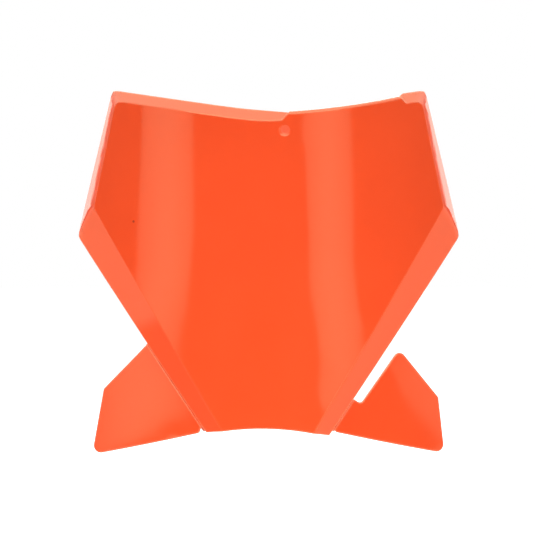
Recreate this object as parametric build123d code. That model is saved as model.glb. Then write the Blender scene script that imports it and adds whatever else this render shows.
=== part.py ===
from build123d import *
import math
import os

# Racing number board: one thin moulding with a curved face, bevelled flanges and two lower wings.
# Millimetres. X runs to the viewer's right, the face looks along -Y, Z is up.
# The origin lies on the middle plane, at the back of the face, level with the underside of the lugs.
# Points named with two numbers are seen from the front: distance from the middle plane, height.

# Wall and face
WALL = 2.5
FACE_RADIUS_TOP = 170.0
FACE_RADIUS_BOTTOM = 212.0

# Creases that bound the face
CREASE_LOW = (30.4, -9.6)
CREASE_WIDE = (113.8, 131.3)
CREASE_TOP = (99.0, 200.3)
CREASE_RADIUS = 1.5
TOP_DIP_Z = 187.7
TOP_VEE_Z = 185.6

# Flanges: widths seen from the front, each square to its crease, and how much the side flanges are rolled
FLANK_WIDTH_LOW = 10.2
FLANK_WIDTH_WIDE = 20.1
SIDE_WIDTH_WIDE = 7.6
SIDE_WIDTH_TOP = 3.85
TOP_WIDTH = 7.1
RIM_LOW_DROP = 4.0
FLANK_ANGLE = 37.0
SIDE_ROLL = 0.4
TOP_CORNER_RADIUS = 12.0
WIDE_CORNER_RADIUS = 14.0
BOTTOM_ARCH_Z = -9.0
ARCH_LEFT_Z = -13.0
ARCH_RIGHT_Z = -14.9

# Land: plain stretch of the top edge, where the flange is left out
LAND_START = 13.5
LAND_END = 84.0
LAND_RISE = 5.2
LAND_SAG = 1.1
LAND_SLANT = 5.0
LAND_STEP = 0.9
LAND_EDGE_FLAT = 0.3
# Lengths over which the flange runs down to the land
TAPER_START = 22.0
TAPER_END = 2.5

# Wings, set back behind the face, and the stepped walls that join them to the flank rims
WING_SETBACK = 22.0
LEFT_KNEE = (108.4, 11.7)
LEFT_CORNER = (116.5, -32.1)
LEFT_LOW_Z = -14.6
LEFT_NOTCH = 4.8
LEFT_ROOT_Z = 43.0
RIGHT_TIP = (85.0, 39.0)
RIGHT_KNEE = (111.5, 6.0)
RIGHT_CORNER = (115.9, -31.2)
RIGHT_LOW_Z = -13.8
RIGHT_NOTCH = 2.3
WING_ROOT_Z = -9.0
WING_TIP_RADIUS = 4.0
WING_KNEE_RADIUS = 2.0
WING_CORNER_RADIUS = 4.6
WING_LOW_RADIUS = 2.0
WING_EDGE_RADIUS = 0.7
STEP_DRAFT = 12.0
STEP_LAP = 1.0
STEP_LOW_Z = -12.4

# Hose slot between the right wing and its flank
SLOT_END_Z = 7.7
SLOT_WIDTH = 6.4
SLOT_END_RADIUS = 2.4

# Screw boss behind the face, and the sink mark it leaves on the front
BOSS_X = 10.8
BOSS_Z = 181.5
BOSS_DIAMETER = 11.0
BOSS_LENGTH = 14.0
PILOT_DIAMETER = 4.2
PILOT_DEPTH = 12.0
SINK_DIAMETER = 7.5
SINK_DEPTH = 0.5
RIB_THICKNESS = 2.0
RIB_FOOT = 9.0

# Lugs that hook over the edge of the mudguard
LUG_SPACING = 40.0
LUG_WIDTH = 14.0
LUG_THICKNESS = 3.0
LUG_LENGTH = 14.0
LUG_HOOK = 5.0

# Construction room around the board, larger than any cut needs, and the margin left round its outline
ROOM = 260.0
MARGIN = 8.0
# Half the sweep of the face, in degrees, before it is trimmed
FACE_SWEEP = 60.0
# Where the points of a crease or rim lie, as shares of its length, running on past its ends
FLANK_SHARES = (-0.35, 0.0, 0.25, 0.5, 0.75, 1.0, 1.2)
SIDE_SHARES = (-0.8, 0.0, 0.25, 0.5, 0.75, 1.0, 1.6)
SIDE_RIM_SHARES = (-0.1, 0.0, 0.25, 0.5, 0.75, 1.0, 1.2)
ROLL_SHARES = (-0.5, 0.0, 0.5, 1.0, 1.6)
TOP_SHARES = (-1.2, -1.0, -0.5, -0.2, 0.0, 0.2, 0.5, 1.0, 1.2)
STEP_SHARES = (0.0, 0.25, 0.5, 0.75, 1.0)

FACE_Y = -WALL


def face_radius(z):
    """Radius of the face, square to its front line, at a height."""
    share = (z - CREASE_LOW[1]) / (CREASE_TOP[1] - CREASE_LOW[1])
    return FACE_RADIUS_BOTTOM + share * (FACE_RADIUS_TOP - FACE_RADIUS_BOTTOM)


def face_y(x, z, inset=0.0):
    """Depth of the conical face, or of its inner side, at a point seen from the front."""
    taper = (FACE_RADIUS_BOTTOM - FACE_RADIUS_TOP) / (CREASE_TOP[1] - CREASE_LOW[1])
    flat = 1 - taper * taper
    radius = face_radius(z) - inset
    return FACE_Y + inset + (radius - math.sqrt(radius * radius - flat * x * x)) / flat


def top_z(x):
    """Height of the top crease: a shallow vee with a rounded bottom."""
    slope = (CREASE_TOP[1] - TOP_VEE_Z) / CREASE_TOP[0]
    round_off = (TOP_DIP_Z - TOP_VEE_Z) / slope
    return TOP_DIP_Z + slope * (math.hypot(x, round_off) - round_off)


def moved_by(point, shift, times=1.0):
    """A point moved across and up by a shift, once or a number of times."""
    return (point[0] + times * shift[0], point[1] + times * shift[1])


def flip(point, side):
    """The same point or direction on the left side (-1) or the right side (1)."""
    return (side * point[0], point[1])


def between(start, end, share):
    """A point part of the way along a line."""
    return (start[0] + share * (end[0] - start[0]), start[1] + share * (end[1] - start[1]))


def outward(start, end):
    """Direction square to a line, seen from the front, pointing off the board."""
    across = end[0] - start[0]
    up = end[1] - start[1]
    length = math.hypot(across, up)
    return (up / length, -across / length)


def distance_off(point, origin, normal):
    """How far a point lies off the line through an origin, seen from the front."""
    return (point[0] - origin[0]) * normal[0] + (point[1] - origin[1]) * normal[1]


def corner_between(corner, first, first_off, second, second_off):
    """The point that lies two distances off the lines through a corner, each along the line's normal."""
    turn = first[0] * second[1] - first[1] * second[0]
    across = (first_off * second[1] - second_off * first[1]) / turn
    up = (second_off * first[0] - first_off * second[0]) / turn
    return (corner[0] + across, corner[1] + up)


def foot_y(point, origin, normal):
    """Depth of the face at the foot of a point on a crease."""
    return face_y(*moved_by(point, normal, -distance_off(point, origin, normal)))


def flank_y(point):
    """Depth of a flank flange, which leaves the face at its crease and falls straight back at a tilt."""
    depth = distance_off(point, CREASE_WIDE, FLANK_OUT) / math.tan(FLANK_TILT)
    return foot_y(point, CREASE_WIDE, FLANK_OUT) + depth


def side_y(point):
    """Depth of a side flange, which leaves the face at its crease and curls round towards the back."""
    spread = distance_off(point, CREASE_WIDE, SIDE_OUT) / SIDE_WIDTH_WIDE
    start = 1 + SIDE_ROLL
    depth = 2 * SIDE_DEPTH * spread / (start + math.sqrt(start * start - 4 * SIDE_ROLL * spread))
    return foot_y(point, CREASE_WIDE, SIDE_OUT) + depth


# Flange directions. The three flanges meet at the rim corners, which sets the side and top tilts.
FLANK_OUT = outward(CREASE_LOW, CREASE_WIDE)
SIDE_OUT = outward(CREASE_WIDE, CREASE_TOP)
TOP_OUT = (0.0, 1.0)
FLANK_TILT = math.radians(FLANK_ANGLE)
RIM_LOW = corner_between(CREASE_LOW, FLANK_OUT, FLANK_WIDTH_LOW, TOP_OUT, -RIM_LOW_DROP)
RIM_WIDE = corner_between(CREASE_WIDE, FLANK_OUT, FLANK_WIDTH_WIDE, SIDE_OUT, SIDE_WIDTH_WIDE)
RIM_TOP = corner_between(CREASE_TOP, SIDE_OUT, SIDE_WIDTH_TOP, TOP_OUT, TOP_WIDTH)
WIDE_Y = flank_y(RIM_WIDE)
SIDE_DEPTH = WIDE_Y - foot_y(RIM_WIDE, CREASE_WIDE, SIDE_OUT)
SIDE_TILT = math.atan2(SIDE_WIDTH_WIDE, SIDE_DEPTH)
TOP_Y = side_y(RIM_TOP)
TOP_RISE = RIM_TOP[1] - top_z(RIM_TOP[0])
TOP_TILT = math.atan2(TOP_RISE, TOP_Y - face_y(RIM_TOP[0], top_z(RIM_TOP[0])))
RIM_OUT = outward(RIM_LOW, RIM_WIDE)


def along(normal, tilt):
    """Direction in which a flange runs, outwards and back."""
    return Vector(normal[0] * math.sin(tilt), math.cos(tilt), normal[1] * math.sin(tilt))


def square(normal, tilt):
    """Direction square to a flange, outwards and forwards."""
    return Vector(normal[0] * math.cos(tilt), -math.sin(tilt), normal[1] * math.cos(tilt))


def inner_shift(start, end, normal, tilt):
    """How far the inner crease moves in, so that the flange is as thick as the face."""
    x, z = between(start, end, 0.5)
    lean = math.asin(x / face_radius(z))
    rise = math.tan(lean) * normal[0]
    return (WALL - WALL / math.cos(lean) * math.sin(tilt)) / (math.cos(tilt) - rise * math.sin(tilt))


def face_surface(inset):
    """The cone that the face lies on, or its inner side."""
    low = Vector(0, FACE_Y + FACE_RADIUS_BOTTOM, CREASE_LOW[1])
    high = Vector(0, FACE_Y + FACE_RADIUS_TOP, CREASE_TOP[1])
    axis = Axis(low, high - low)
    bottom = (0, FACE_Y + inset, CREASE_LOW[1] - ROOM / 4)
    top = (0, FACE_Y + inset, CREASE_TOP[1] + ROOM / 4)
    front_line = Edge.make_line(bottom, top)
    return Face.revolve(front_line.rotate(axis, -FACE_SWEEP), 2 * FACE_SWEEP, axis)


def behind_face(inset, depth=ROOM):
    """All that lies behind the face or its inner side."""
    return Solid.extrude(face_surface(inset), (0, depth, 0))


def wall_behind_face(setback):
    """The curved wall of the face, carried on past its creases, some distance behind it."""
    wall = behind_face(0.0) - behind_face(WALL, 2 * ROOM)
    return wall.moved(Location((0, setback, 0)))


def front_prism(face):
    """A block that runs straight from front to back, with an outline seen from the front."""
    return extrude(Plane.XZ * Pos(0, 0, -ROOM / 2) * face, amount=ROOM)


def slab(curve, width_way, depth_way):
    """A block swept from a curve, first both ways along its width, then along its depth."""
    strip = Face.extrude(curve.moved(Location(width_way * -ROOM)), width_way * (2 * ROOM))
    return Solid.extrude(strip, depth_way * ROOM)


def crease_curve(points, inset):
    """A crease through points seen from the front, laid on the face or its inner side."""
    return Edge.make_spline([Vector(x, face_y(x, z, inset), z) for x, z in points])


def top_crease_curve(shift, inset):
    """The top crease, moved down by a shift, on the face or its inner side."""
    places = [share * CREASE_TOP[0] for share in TOP_SHARES]
    return crease_curve([(x, top_z(x) - shift) for x in places], inset)


def rim_curve(side, start, end, shares, flange_y):
    """Rim of a flange on one side, straight between two corners when seen from the front."""
    points = []
    for share in shares:
        x, z = between(start, end, share)
        points.append(Vector(side * x, flange_y((x, z)), z))
    return Edge.make_spline(points)


def flank_slab(side, inset):
    """All that lies outside a flank flange, or its inner side."""
    shift = inner_shift(CREASE_LOW, CREASE_WIDE, FLANK_OUT, FLANK_TILT) * inset / WALL
    points = [between(CREASE_LOW, CREASE_WIDE, share) for share in FLANK_SHARES]
    crease = crease_curve([flip(moved_by(point, FLANK_OUT, -shift), side) for point in points], inset)
    way = flip(FLANK_OUT, side)
    return slab(crease, along(way, FLANK_TILT), square(way, FLANK_TILT))


def side_slab(side, inset):
    """All that lies outside a rolled side flange, or its inner side, as far back as its rim."""
    shift = inner_shift(CREASE_WIDE, CREASE_TOP, SIDE_OUT, SIDE_TILT) * inset / WALL
    points = [between(CREASE_WIDE, CREASE_TOP, share) for share in SIDE_SHARES]
    crease = crease_curve([flip(moved_by(point, SIDE_OUT, -shift), side) for point in points], inset)
    way = flip(SIDE_OUT, side)
    rows = []
    for share in ROLL_SHARES:
        off = SIDE_WIDTH_WIDE * share * (1 + SIDE_ROLL - SIDE_ROLL * share)
        rows.append(Wire(crease.moved(Location((way[0] * off, SIDE_DEPTH * share, way[1] * off)))))
    return Solid.extrude(Shell.make_loft(rows).faces()[0], square(way, SIDE_TILT) * ROOM)


def body_within_flanges(inset):
    """All that lies behind the face and inside the flanges, or their inner sides."""
    height = RIM_TOP[1] - RIM_LOW[1] + 2 * MARGIN
    middle = (RIM_TOP[1] + RIM_LOW[1]) / 2
    depth = WIDE_Y + MARGIN / 2 + inset
    block = Box(2 * (RIM_WIDE[0] + MARGIN), 2 * depth, height).moved(Location((0, 0, middle)))
    body = behind_face(inset) & block
    for side in (-1, 1):
        body -= flank_slab(side, inset)
        body -= side_slab(side, inset)
    shift = inner_shift((0, TOP_DIP_Z), CREASE_TOP, TOP_OUT, TOP_TILT) * inset / WALL
    crease = top_crease_curve(shift, inset)
    return body - slab(crease, along(TOP_OUT, TOP_TILT), square(TOP_OUT, TOP_TILT))


def round_mitres(body, inset):
    """Round the edges where two flanges meet."""
    for side in (-1, 1):
        wide = Vector(side * RIM_WIDE[0], WIDE_Y, RIM_WIDE[1])
        body = fillet(body.edges().sort_by_distance(wide)[:1], WIDE_CORNER_RADIUS - inset)
        top = Vector(side * RIM_TOP[0], TOP_Y, RIM_TOP[1])
        body = fillet(body.edges().sort_by_distance(top)[:1], TOP_CORNER_RADIUS - inset)
    return body


def rim_share(z):
    """How far along the flank rim a height lies."""
    return (z - RIM_LOW[1]) / (RIM_WIDE[1] - RIM_LOW[1])


def rim_point(z, off=0.0):
    """A point on the flank rim at a height, or off it to the outside, seen from the front."""
    return moved_by(between(RIM_LOW, RIM_WIDE, rim_share(z)), RIM_OUT, off)


def wing(side, outline, corners):
    """A wing cut from the wall that lies behind the face, with its front edge rounded."""
    face = make_face(Polyline(*outline, close=True))
    for corner, radius in corners:
        face = fillet(face.vertices().sort_by_distance(corner)[:1], radius)
    if side < 0:
        face = mirror(face, Plane.YZ)
    sheet = wall_behind_face(WING_SETBACK) & front_prism(face)
    front = sheet.faces().sort_by(SortBy.AREA)[-2:].sort_by(Axis.Y)[0]
    edges = []
    for edge in front.edges():
        middle = edge @ 0.5
        if distance_off((abs(middle.X), middle.Z), RIM_LOW, RIM_OUT) > WALL / 10:
            edges.append(edge)
    return fillet(edges, WING_EDGE_RADIUS)


def step_wall(side, high_z):
    """Wall that runs back from a stretch of the flank rim to the back of the wing."""
    low_share = rim_share(STEP_LOW_Z)
    high_share = rim_share(high_z)
    shares = [low_share + share * (high_share - low_share) for share in STEP_SHARES]
    rim = rim_curve(side, RIM_LOW, RIM_WIDE, shares, flank_y)
    way = flip(FLANK_OUT, side)
    foot = rim.moved(Location(along(way, FLANK_TILT) * -STEP_LAP))
    strip = Face.extrude(foot, square(way, FLANK_TILT) * -WALL)
    wall = Solid.extrude(strip, along(way, math.radians(STEP_DRAFT)) * (2 * WING_SETBACK))
    return wall - behind_face(WALL).moved(Location((0, WING_SETBACK, 0)))


# Shell: an outer body less an inner one, with its creases rounded and a sink mark on the face
outer = round_mitres(body_within_flanges(0.0), 0.0)
top_crease = Vector(0, face_y(0, TOP_DIP_Z), TOP_DIP_Z)
outer = fillet(outer.edges().sort_by_distance(top_crease)[:1], CREASE_RADIUS)
sink_radius = ((SINK_DIAMETER / 2) ** 2 + SINK_DEPTH**2) / (2 * SINK_DEPTH)
sink_y = face_y(BOSS_X, BOSS_Z) + SINK_DEPTH - sink_radius
outer -= Sphere(sink_radius).moved(Location((BOSS_X, sink_y, BOSS_Z)))
shell = outer - round_mitres(body_within_flanges(WALL), WALL)

# Rims, each trimmed square to its flange
for side in (-1, 1):
    for start, end, shares, flange_y, normal, tilt in (
        (RIM_LOW, RIM_WIDE, FLANK_SHARES, flank_y, FLANK_OUT, FLANK_TILT),
        (RIM_WIDE, RIM_TOP, SIDE_RIM_SHARES, side_y, SIDE_OUT, SIDE_TILT),
    ):
        way = flip(normal, side)
        shell -= slab(rim_curve(side, start, end, shares, flange_y), square(way, tilt), along(way, tilt))
top_run = along(TOP_OUT, TOP_TILT)
top_rim = top_crease_curve(0.0, 0.0).moved(Location(top_run * (TOP_RISE / math.sin(TOP_TILT))))
shell -= slab(top_rim, square(TOP_OUT, TOP_TILT), top_run)

# Arched bottom edge
arch_left = flip(rim_point(ARCH_LEFT_Z), -1)
arch_right = rim_point(ARCH_RIGHT_Z)
arch = ThreePointArc(arch_left, (0, BOTTOM_ARCH_Z), arch_right)
beside = RIM_LOW[0] + MARGIN
below = RIM_LOW[1] - 2 * MARGIN
around = Polyline(
    arch_right,
    (beside, arch_right[1]),
    (beside, below),
    (-beside, below),
    (-beside, arch_left[1]),
    arch_left,
)
shell -= front_prism(make_face(arch + around))

# Land: the flange is cut away, and the plain wall of the face runs on to a rounded edge
land_foot = TOP_DIP_Z - LAND_RISE
land_start = (LAND_START, top_z(LAND_START) + LAND_RISE)
land_end = (LAND_END, top_z(LAND_END) + LAND_RISE)
land_middle = (LAND_START + LAND_END) / 2
land_middle_z = top_z(land_middle) + LAND_RISE - LAND_SAG
land_sides = (
    land_end,
    (LAND_END + LAND_SLANT, top_z(LAND_END)),
    (LAND_END + LAND_SLANT, land_foot),
    (LAND_START - LAND_SLANT, land_foot),
    (LAND_START - LAND_SLANT, top_z(LAND_START)),
    land_start,
)
land_top = ThreePointArc(land_start, (land_middle, land_middle_z), land_end)
land = wall_behind_face(0.0) & front_prism(make_face(land_top + Polyline(*land_sides)))
land_edge = Vector(land_middle, face_y(land_middle, land_middle_z), land_middle_z)
land = fillet(land.edges().sort_by_distance(land_edge)[:1], WALL - LAND_EDGE_FLAT)
taper_start = LAND_START - TAPER_START
taper_end = LAND_END + TAPER_END
above = RIM_TOP[1] + MARGIN
land_gap = Polyline(
    (taper_start, top_z(taper_start) + TOP_RISE),
    (taper_start, above),
    (taper_end, above),
    (taper_end, top_z(taper_end) + TOP_RISE),
    *land_sides[:-1],
    (LAND_START, land_start[1] - LAND_STEP),
    close=True,
)
shell = shell - front_prism(make_face(land_gap)) + land

# Wings and their stepped walls. Their low corners stand off the flank rims by a notch.
left_low = corner_between(RIM_LOW, RIM_OUT, LEFT_NOTCH, TOP_OUT, LEFT_LOW_Z - RIM_LOW[1])
right_low = corner_between(RIM_LOW, RIM_OUT, RIGHT_NOTCH, TOP_OUT, RIGHT_LOW_Z - RIM_LOW[1])
left_outline = (rim_point(LEFT_ROOT_Z), LEFT_KNEE, LEFT_CORNER, left_low, rim_point(WING_ROOT_Z))
left_corners = (
    (LEFT_KNEE, WING_KNEE_RADIUS),
    (LEFT_CORNER, WING_CORNER_RADIUS),
    (left_low, WING_LOW_RADIUS),
)
slot_end = rim_point(SLOT_END_Z, SLOT_WIDTH)
right_outline = (
    RIGHT_TIP,
    RIGHT_KNEE,
    RIGHT_CORNER,
    right_low,
    rim_point(WING_ROOT_Z),
    rim_point(SLOT_END_Z),
    slot_end,
)
right_corners = (
    (RIGHT_TIP, WING_TIP_RADIUS),
    (RIGHT_KNEE, WING_KNEE_RADIUS),
    (RIGHT_CORNER, WING_CORNER_RADIUS),
    (right_low, WING_LOW_RADIUS),
    (slot_end, SLOT_END_RADIUS),
)
board = shell + step_wall(-1, LEFT_ROOT_Z) + step_wall(1, SLOT_END_Z)
board = board + wing(-1, left_outline, left_corners)
board = board + wing(1, right_outline, right_corners)

# Screw boss with three ribs
boss_plane = Plane(origin=(BOSS_X, FACE_Y, BOSS_Z), x_dir=(1, 0, 0), z_dir=(0, 1, 0))
fittings = extrude(boss_plane * Circle(BOSS_DIAMETER / 2), amount=BOSS_LENGTH + WALL)
rib_top = BOSS_LENGTH + WALL - RIB_THICKNESS
rib_corners = ((0, 0), (BOSS_DIAMETER / 2 + RIB_FOOT, 0), (BOSS_DIAMETER / 2, rib_top), (0, rib_top))
rib_face = make_face(Polyline(*rib_corners, close=True))
for rib_way in (Vector(-1, 0, 0), Vector(1, 0, 0), Vector(0, 0, -1)):
    rib_plane = Plane(origin=boss_plane.origin, x_dir=rib_way, z_dir=rib_way.cross(Vector(0, 1, 0)))
    fittings += extrude(rib_plane * rib_face, amount=RIB_THICKNESS / 2, both=True)

# Lugs, each an arm with a hook at its end and a gusset above
lug_reach = LUG_LENGTH + WALL
lug_corners = (
    (0, 0),
    (lug_reach - LUG_THICKNESS, 0),
    (lug_reach - LUG_THICKNESS, -LUG_HOOK),
    (lug_reach, -LUG_HOOK),
    (lug_reach, LUG_THICKNESS),
    (0, LUG_THICKNESS),
)
lug_face = make_face(Polyline(*lug_corners, close=True))
gusset_face = make_face(Polyline((0, 0), (lug_reach - LUG_THICKNESS, 0), (0, lug_reach), close=True))
for side in (-1, 1):
    lug_plane = Plane(origin=(side * LUG_SPACING / 2, FACE_Y, 0), x_dir=(0, 1, 0), z_dir=(1, 0, 0))
    fittings += extrude(lug_plane * lug_face, amount=LUG_WIDTH / 2, both=True)
    fittings += extrude(lug_plane * gusset_face, amount=RIB_THICKNESS / 2, both=True)

# The fittings start in the middle of the wall, so none shows on the face
board += fittings & behind_face(WALL / 2)

# Blind pilot hole in the boss
pilot_plane = Plane(origin=(BOSS_X, BOSS_LENGTH, BOSS_Z), x_dir=(1, 0, 0), z_dir=(0, -1, 0))
board -= extrude(pilot_plane * Circle(PILOT_DIAMETER / 2), amount=PILOT_DEPTH)

os.makedirs("parts", exist_ok=True)
export_step(board, "parts/number_board.step")
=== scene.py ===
import bpy
import math
from typing import NamedTuple
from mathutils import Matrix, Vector


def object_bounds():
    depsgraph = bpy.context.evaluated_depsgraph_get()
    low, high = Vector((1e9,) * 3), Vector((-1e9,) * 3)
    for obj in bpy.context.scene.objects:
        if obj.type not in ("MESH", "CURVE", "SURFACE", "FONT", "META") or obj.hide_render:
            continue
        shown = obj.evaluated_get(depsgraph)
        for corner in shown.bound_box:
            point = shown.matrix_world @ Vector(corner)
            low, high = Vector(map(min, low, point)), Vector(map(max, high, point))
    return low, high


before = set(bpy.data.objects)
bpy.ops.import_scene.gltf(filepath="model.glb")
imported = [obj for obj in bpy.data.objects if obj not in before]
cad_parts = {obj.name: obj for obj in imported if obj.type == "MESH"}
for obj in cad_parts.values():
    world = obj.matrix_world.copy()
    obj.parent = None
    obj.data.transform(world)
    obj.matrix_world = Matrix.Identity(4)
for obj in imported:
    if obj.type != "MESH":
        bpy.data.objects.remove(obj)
cad_low, cad_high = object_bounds()

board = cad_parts["number_board"]

# Lengths are metres in the frame of the board: X to the right, Y to the back and Z up

# Plastic, coloured through, with faint flow marks between two near shades
ORANGE_DEEP = (0.842, 0.0715, 0.0170, 1.0)
ORANGE_PALE = (0.862, 0.0775, 0.0190, 1.0)
FLOW_SCALE = 14.0
FLOW_DETAIL = 3.0
# A noise mostly lies between these values
NOISE_RANGE = (0.3, 0.7)

# A small dark fleck in the plastic. The core is the share of the radius over which it is full.
FLECK_COLOUR = (0.30, 0.03, 0.012, 1.0)
FLECK_PLACE = (-0.0871, 0.0192, 0.1228)
FLECK_RADIUS = 0.0010
FLECK_CORE = 0.4

# Painted highlight along the edges: a narrow paler line where the normal of a rounded edge turns away from
# the true one, in place of the gloss a rounded edge catches
EDGE_HIGHLIGHT_COLOUR = (1.0, 0.30, 0.16, 1.0)
EDGE_RADIUS = 0.0018
EDGE_TURN = (0.98, 0.92)
EDGE_SHARE = 0.9

# Sink mark over the screw boss: a painted reflection makes the plastic paler there, and its gloss is dull
SINK_REFLECTION_COLOUR = (0.85, 0.090, 0.036, 1.0)
SINK_PLACE = (0.0105, -0.0020, 0.1820)
SINK_RADIUS = 0.0034
SINK_CORE = 0.75
SINK_ROUGHNESS = 0.45

# Gloss of uneven roughness, slightly warm where it is seen straight on
PLASTIC_IOR = 1.5
GLOSS_TINT = (1.0, 1.0, 0.60, 1.0)
GLOSS_ROUGHNESS = (0.05, 0.07)
GLOSS_SCALE = 60.0
GLOSS_DETAIL = 4.0

# Slow waves, drawn out upright, and fine orange peel over them
WAVE_STRETCH = (1.0, 1.0, 0.3)
WAVE_SCALE = 30.0
WAVE_DETAIL = 1.0
WAVE_STRENGTH = 0.25
WAVE_HEIGHT = 0.0011
PEEL_SCALE = 650.0
PEEL_DETAIL = 2.0
PEEL_STRENGTH = 0.05
PEEL_HEIGHT = 0.0002

# Camera at the photograph's angle: straight in front of the board and a little above its middle
CAMERA_ELEVATION = math.radians(3.0)
CAMERA_DISTANCE = 1.8
CAMERA_TARGET = Vector((-0.0008, 0.0275, 0.0927))
CAMERA_LENS = 187.06
CAMERA_SENSOR = 36.0

# Places at which the lamps look: the middle of the board, and the flank on the lamp's own side
LAMP_AIM = (0.0, 0.02, 0.09)
FLANK_AIM = (0.09, 0.03, 0.06)


class Lamp(NamedTuple):
    """A soft panel lamp that sends out an even radiance from its front."""

    name: str
    place: tuple
    width: float
    height: float
    radiance: float
    aim: tuple = LAMP_AIM
    glossy: bool = False
    diffuse: bool = True


# Lamps on the middle plane: a low key lamp in front, light from above, and a sheet that only the gloss shows
MIDDLE_LAMPS = (
    Lamp("low_key", place=(0.0, -0.52, -0.13), width=0.5, height=0.05, radiance=31.0),
    Lamp("top_box", place=(0.0, -0.22, 1.36), width=1.7, height=0.8, radiance=4.2),
    Lamp(
        "front_sheet",
        place=(0.0, -1.2, 1.05),
        width=1.8,
        height=1.2,
        radiance=2.8,
        glossy=True,
        diffuse=False,
    ),
)
# Lamps that stand on both sides, behind the board and beside its flanks, written for the right
SIDE_LAMPS = (
    Lamp("edge_box", place=(0.67, 1.16, 0.2), width=0.77, height=1.2, radiance=1.4),
    Lamp("side_box", place=(0.85, 0.80, 0.25), width=0.5, height=0.8, radiance=9.0),
    Lamp("flank_box", place=(0.5, 0.12, -0.15), width=0.5, height=0.5, radiance=1.05, aim=FLANK_AIM),
)

# Bright cards that mirror in the face and the wings. They stand on a circle round the board.
# Each row is a height with the angles, to the right of straight ahead, between which the card lies.
CARD_DISTANCE = 1.3
CARD_PIECES = 6
# Brightness of a card from its edge, at nought, to its middle, at a half
CARD_MIDDLE = 0.5
CARD_STOPS = ((0.0, 0.0), (0.06, 0.62), (0.20, 0.82), (0.40, 1.0))
LEFT_CARD_LEVEL = 1.95
LEFT_CARD = (
    (-0.121, -72.0, -28.0),
    (-0.095, -72.0, -29.5),
    (-0.070, -72.0, -34.2),
    (0.000, -72.0, -33.2),
    (0.020, -56.0, -33.2),
    (0.080, -58.5, -32.4),
    (0.300, -64.0, -36.5),
)
RIGHT_CARD_LEVEL = 1.9
RIGHT_CARD = (
    (-0.126, 18.8, 24.0),
    (-0.065, 20.4, 35.6),
    (-0.030, 19.2, 38.2),
    (0.006, 16.8, 37.9),
    (0.043, 16.9, 36.9),
    (0.300, 15.2, 40.9),
)
WING_CARD_LEVEL = 1.2
WING_CARD = (
    (-0.099, 67.0, 78.0),
    (-0.087, 59.4, 78.0),
    (-0.070, 54.0, 78.0),
    (-0.030, 50.0, 78.0),
    (0.000, 60.0, 78.0),
)

# World: white for the camera and a weak even glow for the shading
WHITE = (1.0, 1.0, 1.0, 1.0)
WHITE_LEVEL = 1.0
GLOW_LEVEL = 0.12
# For the gloss, a level behind the board, in shares by how far a direction points back and up
BACK_LEVEL = 3.0
BACK_SLANT = (0.0, 1.0, 0.6)
BACK_STOPS = (
    (0.0, 0.05),
    (0.15, 0.40),
    (0.50, 0.40),
    (0.62, 0.08),
    (0.731, 0.08),
    (0.756, 1.0),
    (0.86, 0.67),
)
# For the gloss, a sky that grows from the horizon to the height where it is full
SKY_RISE = (0.0, 0.60)
SKY_LEVELS = (0.0, 3.1)

# Pale floor, some way below the lowest point of the board. For the camera it fades to white with distance.
FLOOR_DROP = 0.1295
FLOOR_LEVEL = cad_low[2] - FLOOR_DROP
FLOOR_HALF = 4.0
FLOOR_COLOUR = (0.8, 0.8, 0.8, 1.0)
FLOOR_GLOW = 0.12
FLOOR_FADE = (0.7, 1.4)
FLOOR_LIFT = (0.6, 1.0)
# In the gloss the floor is bright beyond a line on each side, dim between them and dark in front
SHINE_COLOUR = (1.0, 0.97, 0.80, 1.0)
SHINE_DIM = 0.25
SHINE_LEFT = (-0.57, -0.53)
SHINE_RIGHT = (0.15, 0.25)
SHINE_FRONT = (-0.6, -0.2)
SHINE_FRONT_LEVELS = (0.1, 1.0)


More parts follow.
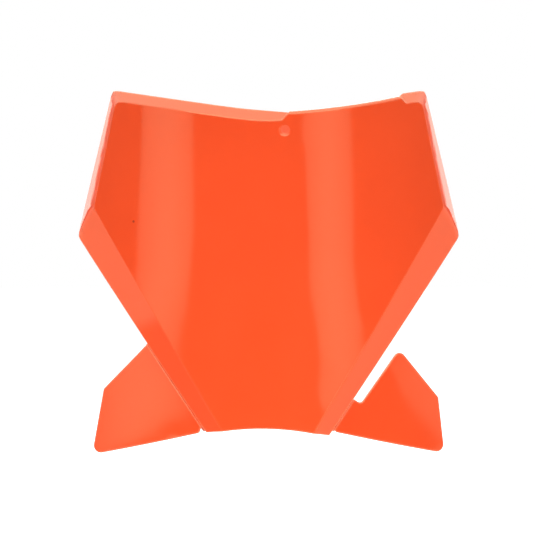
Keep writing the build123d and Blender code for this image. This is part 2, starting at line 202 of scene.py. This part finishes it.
class Maker:
    """Adds nodes to one node tree. A socket is fed a plain value or another node's output."""

    def __init__(self, owner):
        owner.use_nodes = True
        self.nodes = owner.node_tree.nodes
        self.links = owner.node_tree.links
        self.nodes.clear()

    def feed(self, socket, value):
        if isinstance(value, bpy.types.NodeSocket):
            self.links.new(value, socket)
        else:
            socket.default_value = value

    def add(self, kind, **values):
        """Add a node and feed its sockets by name, with a low line for each space."""
        node = self.nodes.new(kind)
        for name, value in values.items():
            self.feed(node.inputs[name.replace("_", " ")], value)
        return node

    def add_in_order(self, kind, *values):
        """Add a node and feed its sockets in their order."""
        node = self.nodes.new(kind)
        for socket, value in zip(node.inputs, values):
            self.feed(socket, value)
        return node

    def number(self, operation, *values):
        """A number worked out from numbers."""
        node = self.add_in_order("ShaderNodeMath", *values)
        node.operation = operation
        return node.outputs["Value"]

    def vector(self, operation, *values):
        """A node that works with vectors, whose result is a vector or a number."""
        node = self.add_in_order("ShaderNodeVectorMath", *values)
        node.operation = operation
        return node

    def blend(self, share, first, second):
        """A colour between two others."""
        node = self.nodes.new("ShaderNodeMix")
        node.data_type = "RGBA"
        self.feed(node.inputs["Factor"], share)
        self.feed(node.inputs["A"], first)
        self.feed(node.inputs["B"], second)
        return node.outputs["Result"]

    def spread(self, value, source, result, smooth=False):
        """A value carried from one range over to another."""
        node = self.add("ShaderNodeMapRange", Value=value, From_Min=source[0], From_Max=source[1])
        self.feed(node.inputs["To Min"], result[0])
        self.feed(node.inputs["To Max"], result[1])
        if smooth:
            node.interpolation_type = "SMOOTHSTEP"
        return node.outputs["Result"]

    def greys(self, value, stops):
        """A grey for a value, by stops that each hold a value and a brightness."""
        node = self.add("ShaderNodeValToRGB", Fac=value)
        elements = node.color_ramp.elements
        while len(elements) < len(stops):
            elements.new(0.5)
        for element, (place, grey) in zip(elements, stops):
            element.position = place
            element.color = (grey, grey, grey, 1.0)
        return node.outputs["Color"]

    def noise(self, place, scale, detail):
        node = self.add("ShaderNodeTexNoise", Vector=place, Scale=scale, Detail=detail)
        return node.outputs["Fac"]

    def within(self, place, centre, radius, core):
        """One in the core of a ball, and nought from its radius on."""
        away = self.vector("DISTANCE", place, centre).outputs["Value"]
        return self.spread(away, (core * radius, radius), (1.0, 0.0))

    def choose(self, share, first, second):
        """A shader between two others."""
        return self.add_in_order("ShaderNodeMixShader", share, first, second).outputs["Shader"]

    def both(self, first, second):
        """The sum of two shaders."""
        return self.add_in_order("ShaderNodeAddShader", first, second).outputs["Shader"]


def painted_edge_highlight(maker):
    """How far a place lies on an edge, where the rounded normal turns away from the true one. This is the
    share of the painted edge highlight.
    """
    true = maker.add("ShaderNodeNewGeometry").outputs["Normal"]
    rounded = maker.add("ShaderNodeBevel", Radius=EDGE_RADIUS).outputs["Normal"]
    turned = maker.vector("DOT_PRODUCT", true, rounded).outputs["Value"]
    return maker.spread(turned, EDGE_TURN, (0.0, EDGE_SHARE))


def plastic_colour(maker, place, sunk):
    """Two near shades in faint flow marks, with one fleck, a painted highlight along the edges and a painted
    reflection that makes the sink mark paler.
    """
    flow = maker.spread(maker.noise(place, FLOW_SCALE, FLOW_DETAIL), NOISE_RANGE, (0.0, 1.0))
    colour = maker.blend(flow, ORANGE_DEEP, ORANGE_PALE)
    fleck = maker.within(place, FLECK_PLACE, FLECK_RADIUS, FLECK_CORE)
    colour = maker.blend(fleck, colour, FLECK_COLOUR)
    # Painted highlight: a paler line along the edges
    colour = maker.blend(painted_edge_highlight(maker), colour, EDGE_HIGHLIGHT_COLOUR)
    # Painted reflection: the sink mark is painted paler, while its dull gloss comes from the roughness
    return maker.blend(sunk, colour, SINK_REFLECTION_COLOUR)


def plastic_roughness(maker, place, sunk):
    """Uneven gloss, which is dull in the sink mark."""
    gloss = maker.spread(maker.noise(place, GLOSS_SCALE, GLOSS_DETAIL), NOISE_RANGE, GLOSS_ROUGHNESS)
    dull = maker.number("MULTIPLY", sunk, SINK_ROUGHNESS)
    return maker.number("MAXIMUM", gloss, dull)


def plastic_relief(maker, place):
    """Slow upright waves with fine orange peel over them."""
    upright = maker.vector("MULTIPLY", place, WAVE_STRETCH).outputs["Vector"]
    ripple = maker.noise(upright, WAVE_SCALE, WAVE_DETAIL)
    waves = maker.add("ShaderNodeBump", Strength=WAVE_STRENGTH, Distance=WAVE_HEIGHT, Height=ripple)
    grain = maker.noise(place, PEEL_SCALE, PEEL_DETAIL)
    peel = maker.add("ShaderNodeBump", Strength=PEEL_STRENGTH, Distance=PEEL_HEIGHT, Height=grain)
    maker.feed(peel.inputs["Normal"], waves.outputs["Normal"])
    return peel.outputs["Normal"]


def orange_plastic():
    """Glossy moulded plastic."""
    mat = bpy.data.materials.new("orange_plastic_gloss")
    maker = Maker(mat)
    place = maker.add("ShaderNodeTexCoord").outputs["Object"]
    sunk = maker.within(place, SINK_PLACE, SINK_RADIUS, SINK_CORE)
    shader = maker.add(
        "ShaderNodeBsdfPrincipled",
        IOR=PLASTIC_IOR,
        Specular_Tint=GLOSS_TINT,
        Base_Color=plastic_colour(maker, place, sunk),
        Roughness=plastic_roughness(maker, place, sunk),
        Normal=plastic_relief(maker, place),
    )
    maker.add("ShaderNodeOutputMaterial", Surface=shader.outputs["BSDF"])
    return mat


def add_object(name, data):
    thing = bpy.data.objects.new(name, data)
    bpy.context.scene.collection.objects.link(thing)
    return thing


def look_at(thing, place, aim):
    """Stand a camera or a lamp at a place and turn it to look at another."""
    thing.location = place
    thing.rotation_euler = (Vector(aim) - Vector(place)).to_track_quat("-Z", "Y").to_euler()


def set_camera():
    data = bpy.data.cameras.new("camera")
    data.sensor_width = CAMERA_SENSOR
    data.lens = CAMERA_LENS
    camera = add_object("camera", data)
    back = Vector((0.0, -math.cos(CAMERA_ELEVATION), math.sin(CAMERA_ELEVATION)))
    look_at(camera, CAMERA_TARGET + CAMERA_DISTANCE * back, CAMERA_TARGET)
    bpy.context.scene.camera = camera


def set_lamp(lamp, side=1):
    """Add a lamp, on the right as it is written or mirrored to the left."""
    data = bpy.data.lights.new(lamp.name, "AREA")
    data.shape = "RECTANGLE"
    data.size = lamp.width
    data.size_y = lamp.height
    data.energy = lamp.radiance * math.pi * lamp.width * lamp.height
    thing = add_object(lamp.name, data)
    mirror = Vector((side, 1, 1))
    look_at(thing, Vector(lamp.place) * mirror, Vector(lamp.aim) * mirror)
    thing.visible_camera = False
    thing.visible_glossy = lamp.glossy
    thing.visible_diffuse = lamp.diffuse


def set_lamps():
    for lamp in MIDDLE_LAMPS:
        set_lamp(lamp)
    for side in (-1, 1):
        for lamp in SIDE_LAMPS:
            set_lamp(lamp, side)


def around(angle, height):
    """A place on the circle of cards, at an angle to the right of straight ahead."""
    turn = math.radians(angle)
    return (CARD_DISTANCE * math.sin(turn), -CARD_DISTANCE * math.cos(turn), height)


def card_mesh(name, rows):
    """A curved sheet between the rows. Each point holds its share of the way across."""
    across = CARD_PIECES + 1
    points = []
    for height, first, last in rows:
        step = (last - first) / CARD_PIECES
        points += [around(first + step * piece, height) for piece in range(across)]
    faces = []
    for row in range(len(rows) - 1):
        for piece in range(CARD_PIECES):
            corner = row * across + piece
            faces.append((corner, corner + 1, corner + across + 1, corner + across))
    mesh = bpy.data.meshes.new(name)
    mesh.from_pydata(points, [], faces)
    shares = [piece / CARD_PIECES for piece in range(across)] * len(rows)
    mesh.attributes.new("across", "FLOAT", "POINT").data.foreach_set("value", shares)
    return mesh


def card_light(name, radiance):
    """Light that fades towards both edges of a card."""
    mat = bpy.data.materials.new(name)
    maker = Maker(mat)
    share = maker.add("ShaderNodeAttribute")
    share.attribute_name = "across"
    inward = maker.number("PINGPONG", share.outputs["Fac"], CARD_MIDDLE)
    light = maker.add("ShaderNodeEmission", Color=maker.greys(inward, CARD_STOPS), Strength=radiance)
    maker.add("ShaderNodeOutputMaterial", Surface=light.outputs["Emission"])
    return mat


def set_card(name, rows, radiance):
    """A bright card that shows in the gloss alone."""
    mesh = card_mesh(name, rows)
    mesh.materials.append(card_light(name, radiance))
    sheet = add_object(name, mesh)
    sheet.visible_camera = False
    sheet.visible_diffuse = False
    sheet.visible_shadow = False


def set_cards():
    set_card("left_card", LEFT_CARD, LEFT_CARD_LEVEL)
    set_card("right_card", RIGHT_CARD, RIGHT_CARD_LEVEL)
    set_card("wing_card", WING_CARD, WING_CARD_LEVEL)


def mirrored_ray(maker, path):
    """One for a ray that shows in the gloss or through a clear body."""
    return maker.number("MAXIMUM", path.outputs["Is Glossy Ray"], path.outputs["Is Transmission Ray"])


def set_world():
    """White for the camera, a soft even glow for the shading, and a room for the gloss, dark in front."""
    world = bpy.data.worlds.new("studio")
    bpy.context.scene.world = world
    maker = Maker(world)
    path = maker.add("ShaderNodeLightPath")
    direction = maker.add("ShaderNodeTexCoord").outputs["Generated"]

    def background(colour, level):
        return maker.add("ShaderNodeBackground", Color=colour, Strength=level).outputs["Background"]

    slant = maker.vector("DOT_PRODUCT", direction, BACK_SLANT).outputs["Value"]
    back = background(maker.greys(slant, BACK_STOPS), BACK_LEVEL)
    height = maker.add("ShaderNodeSeparateXYZ", Vector=direction).outputs["Z"]
    sky = background(WHITE, maker.spread(height, SKY_RISE, SKY_LEVELS, smooth=True))
    glow = background(WHITE, GLOW_LEVEL)
    shade = maker.choose(mirrored_ray(maker, path), glow, maker.both(back, sky))
    seen = maker.choose(path.outputs["Is Camera Ray"], shade, background(WHITE, WHITE_LEVEL))
    maker.add("ShaderNodeOutputWorld", Surface=seen)


def floor_seen(maker, place, path):
    """Pale and matt, lifted to white with distance for the camera."""
    away = maker.vector("LENGTH", place).outputs["Value"]
    far = maker.spread(away, FLOOR_FADE, FLOOR_LIFT)
    seen = maker.number("MULTIPLY", path.outputs["Is Camera Ray"], far)
    level = maker.spread(seen, (0.0, 1.0), (FLOOR_GLOW, WHITE_LEVEL))
    lift = maker.add("ShaderNodeEmission", Color=WHITE, Strength=level)
    matt = maker.add("ShaderNodeBsdfDiffuse", Color=FLOOR_COLOUR)
    return maker.both(matt.outputs["BSDF"], lift.outputs["Emission"])


def floor_shine(maker, place):
    """What the gloss shows of the floor: bright at the sides and dark in front."""
    split = maker.add("ShaderNodeSeparateXYZ", Vector=place)
    left = maker.spread(split.outputs["X"], SHINE_LEFT, (1.0, SHINE_DIM))
    right = maker.spread(split.outputs["X"], SHINE_RIGHT, (SHINE_DIM, 1.0))
    front = maker.spread(split.outputs["Y"], SHINE_FRONT, SHINE_FRONT_LEVELS)
    level = maker.number("MULTIPLY", maker.number("MAXIMUM", left, right), front)
    return maker.add("ShaderNodeEmission", Color=SHINE_COLOUR, Strength=level).outputs["Emission"]


def pale_floor():
    mat = bpy.data.materials.new("pale_floor")
    maker = Maker(mat)
    path = maker.add("ShaderNodeLightPath")
    place = maker.add("ShaderNodeTexCoord").outputs["Object"]
    seen = floor_seen(maker, place, path)
    surface = maker.choose(mirrored_ray(maker, path), seen, floor_shine(maker, place))
    maker.add("ShaderNodeOutputMaterial", Surface=surface)
    return mat


def set_floor():
    """A pale floor that keeps the soft shadow."""
    corners = ((-1, -1), (1, -1), (1, 1), (-1, 1))
    points = [(FLOOR_HALF * across, FLOOR_HALF * along, FLOOR_LEVEL) for across, along in corners]
    mesh = bpy.data.meshes.new("floor")
    mesh.from_pydata(points, [], [(0, 1, 2, 3)])
    mesh.materials.append(pale_floor())
    floor = add_object("floor", mesh)


board.data.materials.clear()
board.data.materials.append(orange_plastic())
set_camera()
set_cards()
set_lamps()
set_world()
set_floor()
bpy.context.scene.view_settings.view_transform = "Standard"
